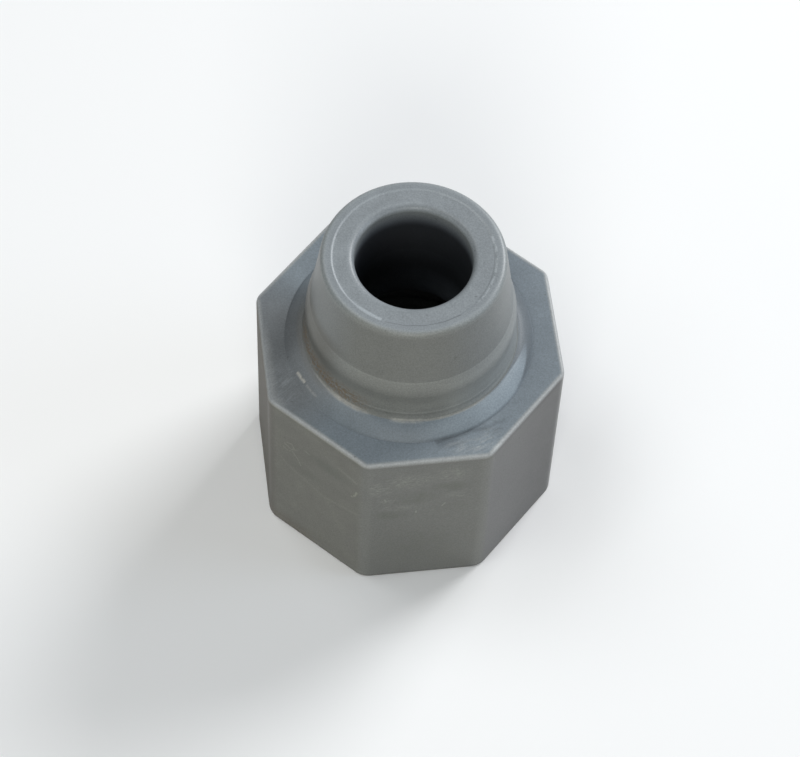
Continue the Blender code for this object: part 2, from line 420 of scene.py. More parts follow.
    # Bore, ferrule seat and relief
    for share in even_shares(BORE_STEPS)[1:-1]:
        turned(BORE_RADIUS, bore_top + (BORE_FOOT_HEIGHT + 0.06 - bore_top) * share)
    turned(BORE_RADIUS, BORE_FOOT_HEIGHT + 0.06)
    turned(BORE_RADIUS + 0.04, BORE_FOOT_HEIGHT - 0.04)
    for share in even_shares(SEAT_STEPS)[1:-1]:
        radius = BORE_RADIUS + (SEAT_RADIUS - BORE_RADIUS) * share
        turned(radius, BORE_FOOT_HEIGHT + (SEAT_HEIGHT - BORE_FOOT_HEIGHT) * share)
    turned(SEAT_RADIUS, SEAT_HEIGHT)
    turned(THREAD_RADIUS - 0.08, SEAT_HEIGHT)
    turned(THREAD_RADIUS, SEAT_HEIGHT - 0.08)
    turned(THREAD_RADIUS, THREAD_TOP)
    return rows


def profile_mesh():
    """A mesh line with a point for each profile row, and the row's numbers as attributes."""
    rows = np.array(profile_rows())
    rows[:, [0, 1, 2, 4]] *= MM
    mesh = bpy.data.meshes.new("profile")
    points = [(row[0], 0.0, row[4]) for row in rows]
    mesh.from_pydata(points, [(i, i + 1) for i in range(len(points) - 1)], [])
    for name, column in (("apothem", 1), ("rounding", 2), ("wrench", 3)):
        attribute = mesh.attributes.new(name, "FLOAT", "POINT")
        attribute.data.foreach_set("value", rows[:, column].astype(np.float32))
    return mesh


def wall_tree():
    """The tree that makes the moulding's closed wall from its profile."""
    group = bpy.data.node_groups.new("moulded_wall", "GeometryNodeTree")
    group.interface.new_socket("Geometry", in_out="OUTPUT", socket_type="NodeSocketGeometry")
    sizes = (
        ("Geometry", "NodeSocketGeometry"),
        ("Rows", "NodeSocketInt"),
        ("Columns", "NodeSocketInt"),
        ("Corner Crowding", "NodeSocketFloat"),
        ("Thread Pitch", "NodeSocketFloat"),
        ("Thread Radius", "NodeSocketFloat"),
        ("Thread Depth", "NodeSocketFloat"),
        ("Thread Bottom", "NodeSocketFloat"),
        ("Thread Top", "NodeSocketFloat"),
        ("Rows in a Pitch", "NodeSocketInt"),
        ("Material", "NodeSocketMaterial"),
    )
    for name, kind in sizes:
        group.interface.new_socket(name, in_out="INPUT", socket_type=kind)
    tree = Tree(group)
    entry = tree.node("NodeGroupInput")
    given = {name: Value(tree, entry.outputs[name]) for name, kind in sizes}
    columns = given["Columns"]

    def grid(rows):
        counts = {"Vertices X": rows, "Vertices Y": columns + 1}
        return tree.value("GeometryNodeMeshGrid", None, counts)

    def place(mesh, radius, height):
        position = tree.vector(
            radius * tree.math("COSINE", turn), radius * tree.math("SINE", turn), height
        )
        return tree.value("GeometryNodeSetPosition", None, {"Geometry": mesh, "Position": position})

    def along_profile(value):
        kind = {"data_type": "FLOAT", "domain": "POINT"}
        return tree.value(
            "GeometryNodeSampleIndex", kind, {0: given["Geometry"], 1: value, "Index": row}
        )

    def attribute(name):
        return tree.value("GeometryNodeInputNamedAttribute", {"data_type": "FLOAT"}, {"Name": name})

    # Row and column of each grid point, and the column's direction, crowded towards the corners
    index = tree.value("GeometryNodeInputIndex")
    row = tree.math("FLOOR", (index + 0.5) / (columns + 1))
    column = index - row * (columns + 1)
    even = column / columns * (2 * math.pi)
    turn = even + given["Corner Crowding"] / SIDES * tree.math("SINE", even * SIDES)
    off_flat = tree.math("FLOORED_MODULO", turn + HALF_SIDE, 2 * HALF_SIDE) - HALF_SIDE

    # The wall outside the thread: an octagon with round corners, a circle, or a share of both
    position = tree.node("GeometryNodeInputPosition")
    parts = tree.node("ShaderNodeSeparateXYZ", None, {0: Value(tree, position.outputs[0])})
    circle = along_profile(Value(tree, parts.outputs["X"]))
    height = along_profile(Value(tree, parts.outputs["Z"]))
    apothem = along_profile(attribute("apothem"))
    rounding = along_profile(attribute("rounding"))
    wrench = along_profile(attribute("wrench"))
    centre = (apothem - rounding) / math.cos(HALF_SIDE)
    off_corner = HALF_SIDE - abs(off_flat)
    reach = rounding * rounding - (centre * tree.math("SINE", off_corner)) ** 2
    on_corner = centre * tree.math("COSINE", off_corner) + tree.math("SQRT", reach.most(0.0))
    on_flat = apothem / tree.math("COSINE", off_flat)
    past_flat = apothem * abs(tree.math("TANGENT", off_flat)) > centre * math.sin(HALF_SIDE)
    octagon = on_flat + (on_corner - on_flat) * past_flat
    wall = place(grid(given["Rows"]), circle + (octagon - circle) * wrench, height)

    # The thread: each row climbs one pitch in a turn and runs out at the land and the relief
    pitch = given["Thread Pitch"]
    steps = given["Rows in a Pitch"]
    span = given["Thread Top"] - given["Thread Bottom"]
    share = row / steps
    climb = given["Thread Bottom"] + pitch * (share + turn / (2 * math.pi) - 1)
    level = climb.most(given["Thread Bottom"]).least(given["Thread Top"])
    off_root = abs(tree.math("FRACT", share) - 0.5) * 2
    ramp = (off_root - THREAD_CREST_SHARE) / (1 - 2 * THREAD_CREST_SHARE)
    flank = tree.math("SMOOTH_MIN", ramp, 1.0, THREAD_SOFTNESS)
    flank = tree.math("SMOOTH_MAX", flank, 0.0, THREAD_SOFTNESS)
    crest = given["Thread Radius"] - given["Thread Depth"] * flank.clamp()
    run_out = (level - given["Thread Bottom"]).least(given["Thread Top"] - level)
    radius = crest.most(given["Thread Radius"] - run_out)
    turns = tree.math("CEIL", span / pitch) + 2
    thread = place(grid(turns * steps + 1), radius, level)
    wall = tree.value("GeometryNodeFlipFaces", None, {0: wall})

    join = tree.node("GeometryNodeJoinGeometry")
    for part in (thread, wall):
        group.links.new(part.socket, join.inputs[0])
    whole = {"Geometry": Value(tree, join.outputs[0]), "Distance": MERGE_DISTANCE}
    closed = tree.value("GeometryNodeMergeByDistance", None, whole)
    real = tree.value("GeometryNodeRealizeInstances", None, {0: closed})
    finish = {"Geometry": real, "Material": given["Material"]}
    tree.node("NodeGroupOutput", None, {0: tree.value("GeometryNodeSetMaterial", None, finish)})
    return group


def build_moulding(material):
    """The whole nut as one closed mesh with its thread."""
    mesh = profile_mesh()
    nut = bpy.data.objects.new("moulded_nut", mesh)
    bpy.context.scene.collection.objects.link(nut)
    modifier = nut.modifiers.new("wall", "NODES")
    modifier.node_group = wall_tree()
    sizes = {
        "Rows": len(mesh.vertices),
        "Columns": COLUMNS,
        "Corner Crowding": CORNER_CROWDING,
        "Thread Pitch": THREAD_PITCH * MM,
        "Thread Radius": THREAD_RADIUS * MM,
        "Thread Depth": THREAD_DEPTH * MM,
        "Thread Bottom": THREAD_BOTTOM * MM,
        "Thread Top": THREAD_TOP * MM,
        "Rows in a Pitch": ROWS_IN_A_PITCH,
        "Material": material,
    }
    for item in modifier.node_group.interface.items_tree:
        if item.name in sizes:
            modifier[item.identifier] = sizes[item.name]
    bpy.context.view_layer.update()
    graph = bpy.context.evaluated_depsgraph_get()
    made = bpy.data.meshes.new_from_object(nut.evaluated_get(graph))
    nut.modifiers.clear()
    nut.data = made
    made.name = "moulded_nut"
    made.shade_smooth()
    made.set_sharp_from_angle(angle=SHARP_ANGLE)
    return nut


def fade(value, start, end):
    """A straight ramp from 0 at start to 1 at end. start may lie above end."""
    return np.clip((value - start) / (end - start), 0, 1)


def near_line(place, points, width):
    """For each place, 1 on a line in plan and 0 from its width outwards."""
    nearest = np.full(len(place), np.inf)
    for start, end in zip(points, points[1:]):
        step = np.subtract(end, start)
        off = place[:, :2] - start
        share = np.clip(off @ step / (step @ step), 0, 1)
        nearest = np.minimum(nearest, np.linalg.norm(off - share[:, None] * step, axis=1))
    return fade(nearest, width, 0)


def scar_depth(place):
    """The scar: a groove along the collar's foot, and a shallow bowl with drag ridges beside it."""
    groove = np.zeros(len(place))
    for points, width, strength in SCAR_PRESSED:
        groove = np.maximum(groove, near_line(place, points, width) * strength)
    off_bowl = np.linalg.norm((place[:, :2] - SCAR_BOWL_CENTRE) / SCAR_BOWL_HALF, axis=1)

    # The ridges follow the drag, which ran at about 32 degrees from +X
    across = place[:, 1] * 0.85 - place[:, 0] * 0.53
    ridges = np.sin(across * 9 + np.sin(place[:, 0] * 1.7)) * np.sin(place[:, 0] * 2.3 + across)
    bowl = fade(off_bowl, 1.3, 0.3) * (SCAR_BOWL_DEPTH + SCAR_RIDGE_DEPTH * ridges)
    return SCAR_GROOVE_DEPTH * groove**1.5 + bowl


def flash_height(radius, way):
    """Flash that stands up in two places along the crease."""
    lip = sum(fade(np.abs(way - middle), start, full) for middle, start, full in FLASH_PLACES)
    uneven = 0.8 + 0.2 * np.sin(way * 0.9) * np.sin(way * 0.4)
    return FLASH_HEIGHT * lip * uneven * fade(np.abs(radius - CREASE_RADIUS - 0.06), 0.12, 0)


def burr_height(radius, way):
    """The burr on the end face's witness step, which ends abruptly at the front left."""
    degrees = way % 360
    along = fade(degrees, *BURR_START) * fade(degrees, *BURR_STOP)
    swell = 0.6 + 0.5 * fade(degrees, *BURR_HEAVY) + 0.15 * np.sin(degrees * 0.45)
    at_top = np.abs(radius - WITNESS_RADIUS - 0.03) < 0.02
    on_step = np.abs(radius - WITNESS_RADIUS) < 0.12
    return along * swell * on_step * np.where(at_top, BURR_TOP_HEIGHT, BURR_FOOT_HEIGHT)


def press_marks(nut):
    """Moves the points that the mould and handling left out of true on the real nut."""
    mesh = nut.data
    place = np.zeros(len(mesh.vertices) * 3, np.float32)
    mesh.vertices.foreach_get("co", place)
    place = place.reshape(-1, 3).astype(float) / MM
    radius = np.hypot(place[:, 0], place[:, 1])
    turn = np.arctan2(place[:, 1], place[:, 0])
    way = np.degrees(turn)
    over_body = (place[:, 2] > BODY_HEIGHT - 0.01) & (radius > CREASE_RADIUS)
    on_end = place[:, 2] > END_FACE_HEIGHT - 0.01

    # The collar's foot sits a little off the axis, and the top face takes up the difference
    share = fade(radius, CREASE_RADIUS, COLLAR_RADIUS)
    share = np.minimum(share, fade(radius, UNMARKED_RADIUS, COLLAR_RADIUS)) * over_body
    drift = COLLAR_DRIFT * np.cos(turn - math.radians(COLLAR_DRIFT_WAY)) * share
    place[:, 0] += drift * np.cos(turn)
    place[:, 1] += drift * np.sin(turn)

    scarred = over_body * (radius < UNMARKED_RADIUS) * (radius > CREASE_RADIUS + 0.66)
    place[:, 2] -= scar_depth(place) * scarred
    place[:, 2] += flash_height(radius, way) * over_body
    place[:, 2] += burr_height(radius, way) * on_end

    mesh.vertices.foreach_set("co", (place * MM).astype(np.float32).ravel())
    mesh.update()


class Surface:
    """Places on the nut, in millimetres and degrees, as values for its material.

    way is the direction from +X, from -180 to 180, and degrees is the same from 0 to 360, for marks
    near the left. out and across are measured square to the nearest wrench flat and along it.
    """

    def __init__(self, tree):
        self.tree = tree
        object_place = tree.value("ShaderNodeTexCoord", None, None, "Object")
        self.place = tree.scaled(object_place, 1 / MM)
        parts = tree.node("ShaderNodeSeparateXYZ", None, {0: self.place})
        self.x, self.y, self.z = (Value(tree, parts.outputs[axis]) for axis in "XYZ")
        self.plan = tree.vector(self.x, self.y)
        self.radius = tree.math("SQRT", self.x * self.x + self.y * self.y)
        turn = tree.math("ARCTAN2", self.y, self.x)
        self.way = turn * (180 / math.pi)
        self.degrees = tree.math("FLOORED_MODULO", self.way, 360.0)
        off_flat = tree.math("FLOORED_MODULO", turn + HALF_SIDE, 2 * HALF_SIDE) - HALF_SIDE
        self.out = self.radius * tree.math("COSINE", off_flat)
        self.across = self.radius * tree.math("SINE", off_flat)
        self.cloud = self.noise(1.6, 3.0)
        self.ragged = self.noise(0.35, 2.0)
        self.find_flats()
        self.find_regions()

    def find_flats(self):
        """The four wrench flats that carry marks, and planes (along the flat, height) on two."""
        self.front_along, self.front = self.on_face(-90)
        self.left_along, self.left = self.on_face(-135)
        self.far_left_along, self.far_left = self.on_face(180)
        self.right_along, self.right = self.on_face(-45)
        self.side = self.z.rise(BODY_HEIGHT, BODY_HEIGHT - 0.4)
        self.front_plane = self.tree.vector(self.front_along, self.z)
        shaky = self.left_along + (self.ragged - 0.5) * 0.3
        self.left_plane = self.tree.vector(shaky, self.z)

    def find_regions(self):
        """The other parts of the nut that several marks share, each as a mask from 0 to 1."""
        # The top face, and with the collar all that faces up outside the crease
        over_edge = self.z.rise(BODY_HEIGHT - 0.28, BODY_HEIGHT - 0.16)
        outside = self.radius.rise(CREASE_RADIUS - 0.02, CREASE_RADIUS + 0.04)
        self.top = over_edge * self.z.rise(BODY_HEIGHT + 0.5, BODY_HEIGHT + 0.2)
        self.facing_up = over_edge * outside

        # The body's top edge, partly rubbed, partly a painted highlight, broader at the left
        self.near_top = self.z.rise(BODY_HEIGHT - 0.5, BODY_HEIGHT - 0.12)
        broader = self.patch(self.plan, (-12.2, -2.4), (1.7, 5.6), 0.6)
        broader = broader * self.out.rise(APOTHEM - 1.1, APOTHEM - 0.3)
        edge = self.near_top * self.out.rise(APOTHEM - 0.5, APOTHEM - 0.12)
        self.edge = edge.most(self.near_top * broader)

        # The collar's painted highlight, pale and curved, which narrows towards the right
        inner = CREASE_RADIUS + 0.03 + 0.5 * self.way.rise(-38.0, -8.0)
        outer = COLLAR_RADIUS - 0.02 - 0.58 * self.way.rise(-46.0, -4.0)
        crescent_highlight = (self.radius - inner).rise(0.0, 0.15) * (outer - self.radius).rise(-0.06, 0.16)
        crescent_highlight = crescent_highlight * self.z.rise(BODY_HEIGHT - 0.05, BODY_HEIGHT + 0.15)
        self.crescent_highlight = crescent_highlight * self.way.rise(-8.0, -27.0)

        # The snout's outside, its end face and the bore
        snout = self.radius.rise(CREASE_RADIUS + 0.06, CREASE_RADIUS - 0.14)
        self.snout = snout * self.z.rise(CREASE_HEIGHT - 0.05, CREASE_HEIGHT + 0.15)
        self.end = self.z.rise(END_FACE_HEIGHT - 0.04, END_FACE_HEIGHT)
        inside = self.radius.rise(BORE_RADIUS + 0.1, BORE_RADIUS)
        inside = inside * self.z.rise(BORE_FOOT_HEIGHT - 0.64, BORE_FOOT_HEIGHT - 0.04)
        self.inside = inside * self.z.rise(END_FACE_HEIGHT - 0.45, END_FACE_HEIGHT - 2.6)

    def noise(self, size, detail=2.0, place=None, roughness=0.5):
        """Even noise from 0 to 1, with lumps of that size in millimetres."""
        sockets = {"Vector": place or self.place, "Scale": 1 / size, "Detail": detail}
        sockets["Roughness"] = roughness
        return self.tree.value("ShaderNodeTexNoise", None, sockets)

    def drawn_out(self, u, v, angle, stretch):
        """The plane u, v turned by an angle in degrees and drawn out along it."""
        turn = math.radians(angle)
        along = (u * math.cos(turn) + v * math.sin(turn)) / stretch
        return self.tree.vector(along, v * math.cos(turn) - u * math.sin(turn))

    def on_face(self, direction):
        """The distance along the wrench flat that faces a direction, and 1 on that flat alone."""
        turn = math.radians(direction)
        along = self.y * math.cos(turn) - self.x * math.sin(turn)
        out = self.x * math.cos(turn) + self.y * math.sin(turn)
        return along, out.rise(APOTHEM - 1.3, APOTHEM - 0.8) * along.band(0, 4.4, 0.8)

    def line(self, plane, points, width):
        """1 on a line through points of the plane, fading to 0 at its width."""
        nearest = None
        for start, end in zip(points, points[1:]):
            step = Vector((end[0] - start[0], end[1] - start[1], 0.0))
            off = self.tree.vectors("SUBTRACT", plane, (*start, 0.0))
            share = self.tree.vectors("DOT_PRODUCT", off, step / step.length_squared, "Value")
            foot = self.tree.scaled(step, share.clamp())
            distance = self.tree.vectors("DISTANCE", off, foot, "Value")
            nearest = distance if nearest is None else nearest.least(distance)
        return nearest.rise(width, 0.0)

    def lines(self, plane, strokes):
        """Several lines, each (points, width, strength)."""
        whole = None
        for points, width, strength in strokes:
            drawn = self.line(plane, points, width) * strength
            whole = drawn if whole is None else whole.most(drawn)
        return whole

    def patch(self, plane, centre, half, soft=0.5):
        """1 in a soft oval of the plane."""
        off = self.tree.vectors("SUBTRACT", plane, (*centre, 0.0))
        off = self.tree.vectors("DIVIDE", off, (*half, 1.0))
        return self.tree.vectors("LENGTH", off, (0.0, 0.0, 0.0), "Value").rise(1.0, 1.0 - soft)

    def patches(self, plane, spots):
        """Several soft ovals, each (centre, half sizes, strength)."""
        whole = None
        for centre, half, strength in spots:
            spot = self.patch(plane, centre, half, 0.8) * strength
            whole = spot if whole is None else whole.most(spot)
        return whole

    def stained(self, colour, share, stain):
        """The colour with a share of a stain's colour mixed in."""
        sockets = {"Factor": share, 6: colour, 7: (*stain, 1.0)}
        return self.tree.value("ShaderNodeMix", {"data_type": "RGBA"}, sockets, 2)


def wear_and_painted_light(on):
    """How much paler the nut is where it is rubbed, and where highlights and shade are painted."""
    # Painted highlights on the top edge's thin crest, the corners between the flats, the tip's rim
    # and the bore's mouth, and on the broader top edge, which is also rubbed
    crest = on.near_top * on.out.rise(APOTHEM - 0.27, APOTHEM - 0.13)
    corners = on.z.rise(BODY_HEIGHT, BODY_HEIGHT - 0.3) * abs(on.across).rise(4.3, 5.0)
    corners = corners * on.out.rise(APOTHEM - 1.2, APOTHEM - 0.7)
    corners = corners * (1.0 - on.degrees.band(203, 10, 8))
    rim = on.z.rise(TIP_HEIGHT - 0.75, TIP_HEIGHT - 0.3)
    rim = rim * on.radius.rise(WITNESS_RADIUS + 0.33, WITNESS_RADIUS + 0.68)
    mouth = on.z.band(END_FACE_HEIGHT - 0.35, 0.12, 0.16)
    mouth = mouth * on.radius.rise(6.0, 5.6) * on.degrees.band(80, 50, 40)
    edges = 0.6 * on.edge + 0.36 * crest + 0.13 * corners + 0.2 * rim + 0.28 * mouth

    # The collar's painted highlight grows paler towards its right
    collar = 0.31 * on.way.rise(-100.0, -80.0) + 0.17 * on.way.rise(-75.0, -40.0)

    # Painted light on the snout, more on its shoulder and the neck's right, and fine bands of
    # painted light and shade round its neck
    shoulder = on.z.rise(CONE_FOOT_HEIGHT + 0.05, CONE_FOOT_HEIGHT - 0.05)
    shoulder = shoulder * on.z.rise(SHOULDER_HEIGHT - 0.1, CONE_FOOT_HEIGHT)
    shoulder = shoulder * (1.0 - 0.5 * on.way.band(10, 30, 30))
    snout = 0.1 + 0.23 * shoulder
    for height, half_width, soft, strength in NECK_LIGHT_AND_SHADE_BANDS:
        snout = snout + on.z.band(height, half_width, soft) * strength
    right = on.way.band(-42, 28, 16) * on.z.rise(CREASE_HEIGHT + 0.05, CREASE_HEIGHT + 0.25)
    right = right * on.z.rise(CONE_FOOT_HEIGHT - 0.05, CONE_FOOT_HEIGHT - 0.95)
    return edges + on.crescent_highlight * collar + on.snout * (snout + 0.28 * right)


def torn_burr(on):
    """The burr on the end face's witness step, which ends abruptly at the front left, and painted
    light on the step at the back.
    """
    ring = on.radius.band(WITNESS_RADIUS, 0.04, 0.08)
    stop = on.degrees.rise(240.3, 239.2)
    left = ring * on.degrees.rise(150, 160) * stop * 0.35
    heavy = on.radius.band(WITNESS_RADIUS - 0.04, 0.12, 0.08) * on.degrees.rise(212, 226) * stop
    # A pale band on the step at the back is painted light
    back = ring * on.degrees.rise(15, 30) * on.degrees.rise(160, 150) * 0.3
    nicks = on.way.band(9.5, 1.6, 1.2).most(on.way.band(-27, 2.2, 1.2))
    nicks = nicks.most(on.ragged.rise(0.4, 0.58) * on.way.band(-17, 27, 6) * 0.9)
    right = on.radius.band(WITNESS_RADIUS + 0.03, 0.04, 0.1) * nicks * 0.65
    return on.end * left.most(heavy * (0.2 + on.cloud * 0.7)).most(back).most(right)


def torn_flash(on):
    """Flash along the crease, thin all round the front and wide in two places."""
    thin = on.radius.band(CREASE_RADIUS + 0.03, 0.04, 0.09) * on.way.band(-105, 45, 12)
    thin = thin * (1.0 - on.way.band(-113, 4, 4) * 0.8)
    wide = on.way.band(-133, 5, 12).most(on.way.band(-99, 4, 8) * 0.8)
    wide = wide * on.radius.rise(CREASE_RADIUS + 0.34, CREASE_RADIUS + 0.06)
    wide = wide * (0.4 + on.ragged) * on.cloud.rise(0.25, 0.45)
    in_crease = on.z.band(CREASE_HEIGHT, 0.1, 0.12).most(on.z.band(CREASE_HEIGHT - 0.1, 0.1, 0.1))
    return in_crease * (thin * (0.2 + on.ragged * 0.9)).most(wide)


def collar_streaks(on):
    """Two pale streaks on the left of the collar."""
    wavy = on.tree.vector(on.way, on.radius + (on.ragged - 0.5) * 0.1)
    return on.lines(wavy, COLLAR_STREAKS) * on.z.rise(BODY_HEIGHT - 0.15, BODY_HEIGHT + 0.05)


def end_face_marks(on):
    """The tone of the end face's fine dark lines and specks, of painted shade by the witness step
    at the right, and of a painted highlight on the bore mouth's edge.
    """
    # Painted highlight on the bore mouth's edge at the back left
    mouth = on.radius.band(BORE_RADIUS + BORE_MOUTH_ROUND, 0.03, 0.14)
    mouth = mouth * on.degrees.band(150, 50, 40) * on.end
    dark = on.line(on.plan, MOULD_MARK, 0.1).most(on.patches(on.plan, END_SPECKS))
    # Painted shade just inside the witness step at the right
    step_shade = on.radius.band(WITNESS_RADIUS - 0.14, 0.02, 0.08) * on.way.band(-20, 20, 8) * 0.5
    return (1.0 + mouth * 0.1) * (1.0 - 0.28 * on.end * dark.most(step_shade))


def bore_painted_shade(on):
    """The tone of painted shade that darkens the bore's wall below its mouth,
    and the ferrule seat below it.
    """
    wall_shade = 0.9 - 0.33 * on.z.rise(BORE_FOOT_HEIGHT + 4.36, BORE_FOOT_HEIGHT + 0.36)
    seat = on.z.rise(BORE_FOOT_HEIGHT + 0.02, BORE_FOOT_HEIGHT - 0.03)
    seat = seat * on.radius.rise(THREAD_RADIUS - 0.05, THREAD_RADIUS - 0.45)
    seat = seat * on.z.rise(SEAT_HEIGHT - 0.22, SEAT_HEIGHT - 0.12)
    return (1.0 - on.inside * wall_shade) * (1.0 - seat * 0.75)


def scar(on):
    """The scar on the top face: its change of tone, its whitening and its relief.

    The darkening along its cuts is painted shade.
    """
    shaky = on.tree.vector(on.x, on.y + (on.ragged - 0.5) * 0.16)
    cut_shade = on.lines(shaky, SCAR_CUTS)
    torn = on.patches(on.plan, SCAR_TORN)
    ripple = on.noise(0.34, 3.0, on.drawn_out(on.x, on.y, 24, 4.5))
    white = torn * ripple.rise(0.36, 0.64)
    white = white.most(on.line(on.plan, ((4.25, -11.7), (4.55, -11.6)), 0.12) * 1.3)
    bruise = on.patch(on.plan, (2.1, -11.0), (2.1, 0.7), 0.8) * 0.16
    bruise = bruise - on.patch(on.plan, (5.1, -11.2), (2.0, 1.2), 0.8) * 0.1
    change = on.top * (white * 0.28 - cut_shade * (0.08 + 0.34 * ripple) - bruise)
    return change, white, on.top * torn * (ripple - 0.5) * 0.03


def drag_lines(on):
    """Fine lines dragged across the left of the top face."""
    drag = on.noise(0.16, 1.0, on.drawn_out(on.x, on.y, 40, 9.0)).rise(0.45, 0.7)
    return on.top * drag * on.patch(on.plan, (-11.1, -3.8), (1.5, 2.8), 0.7)


def scuffs(on):
    """Pale hazes and struck marks on the two front flats, and faint worn spots everywhere."""
    wisp = on.noise(0.22, 4.0, on.drawn_out(on.front_along, on.z, 14, 2.6), 0.7).rise(0.44, 0.72)
    haze = on.patches(on.front_plane, FRONT_HAZE) * (0.05 + on.cloud * 0.4 + wisp * 1.5)
    front = on.front * haze.most(on.lines(on.front_plane, FRONT_STRIKES) * 1.3)
    haze = on.patch(on.left_plane, (-2.5, 13.2), (1.5, 1.6)) * wisp * 0.4
    struck = on.lines(on.left_plane, LEFT_STRIKES) * (0.2 + on.ragged.rise(0.3, 0.5))
    left = on.left * (struck * 1.6).most(haze)
    worn = on.cloud.rise(0.5, 0.72) * on.ragged.rise(0.5, 0.75)
    return front.most(left).most(worn * 0.2)


def smudges(on):
    """Broken greenish smudges on the two front flats."""
    front = on.front * on.patches(on.front_plane, FRONT_SMUDGES)
    left = on.left * on.patches(on.left_plane, LEFT_SMUDGES)
    return on.side * (front + left) * on.cloud.rise(0.3, 0.6)


def flat_tone(on, scuff):
    """The tone of the wrench flats: scuffs, a nick at the far left, and a painted shade at
    the right.
    """
    shade = on.right * (0.19 + 0.3 * on.right_along.rise(-3.5, 4.5))
    plane = on.tree.vector(on.far_left_along, on.z)
    nick = on.far_left * on.line(plane, FAR_LEFT_NICK, 0.4)
    mottled = on.left * (on.cloud - 0.5) * 0.25
    return 1.0 + on.side * (scuff * 0.5 - shade - nick * 0.6 + mottled)


def collar_shade(on):
    """The tone of painted shade: the snout's shadow at its left, and shades on the collar's
    right and at its foot.
    """
    # Painted shadow of the snout at its left
    snout_shadow = on.degrees.band(166, 11, 17) * on.z.rise(BODY_HEIGHT - 0.15, BODY_HEIGHT + 0.05)
    snout_shadow = snout_shadow * on.z.rise(TIP_HEIGHT - 1.95, CONE_FOOT_HEIGHT + 0.05)
    snout_shadow = snout_shadow * on.out.rise(APOTHEM + 0.5, APOTHEM - 0.7)
    # Painted shade on the collar's right, outside its painted highlight
    right = on.way.band(10, 37, 14) * on.z.rise(BODY_HEIGHT - 0.1, BODY_HEIGHT + 0.1)
    right = right * on.radius.rise(CREASE_RADIUS - 0.04, CREASE_RADIUS + 0.11)
    right = right * on.radius.rise(COLLAR_RADIUS + 0.25, COLLAR_RADIUS - 0.25)
    right = right * (1.0 - on.crescent_highlight)
    # Painted shade along the collar's foot
    off_drift = (on.way - COLLAR_DRIFT_WAY) * (math.pi / 180)
    foot_radius = COLLAR_RADIUS - 0.02 + COLLAR_DRIFT * on.tree.math("COSINE", off_drift)
    foot = abs(on.radius - foot_radius).rise(0.17, 0.0)
    foot = foot * on.z.rise(BODY_HEIGHT - 0.15, BODY_HEIGHT - 0.05)
    foot = foot * on.z.rise(BODY_HEIGHT + 0.45, BODY_HEIGHT + 0.25)
    depth = 0.13 - 0.12 * on.degrees.band(195, 25, 15) - 0.13 * on.way.band(0, 38, 20)
    return (1.0 - snout_shadow * 0.28) * (1.0 - right * 0.31) * (1.0 - foot * depth)


def crease_dirt_and_shade(on, crust):
    """Brownish dirt with painted shade on the neck's left, and crusted orange dirt in the crease
    under it.
    """
    brown_dirt_and_shade = on.radius.rise(CREASE_RADIUS + 0.66, CREASE_RADIUS + 0.16)
    brown_dirt_and_shade = brown_dirt_and_shade * on.z.rise(BODY_HEIGHT + 0.35, BODY_HEIGHT + 0.85)
    brown_dirt_and_shade = brown_dirt_and_shade * on.z.rise(CONE_FOOT_HEIGHT + 1.85, CONE_FOOT_HEIGHT + 0.05)
    above_crust = on.z.rise(NECK_FOOT_HEIGHT + 0.2, NECK_FOOT_HEIGHT + 1.4)
    brown_dirt_and_shade = brown_dirt_and_shade * on.degrees.band(187, 18, 22) * (0.5 + 0.5 * above_crust)
    orange = on.radius.rise(CREASE_RADIUS + 0.36, CREASE_RADIUS + 0.06)
    orange = orange * on.z.rise(CREASE_HEIGHT, CREASE_HEIGHT + 0.45)
    orange = orange * on.z.rise(NECK_FOOT_HEIGHT + 1.4, NECK_FOOT_HEIGHT)
    return brown_dirt_and_shade, orange * on.degrees.band(203, 22, 22) * crust.rise(0.36, 0.62)


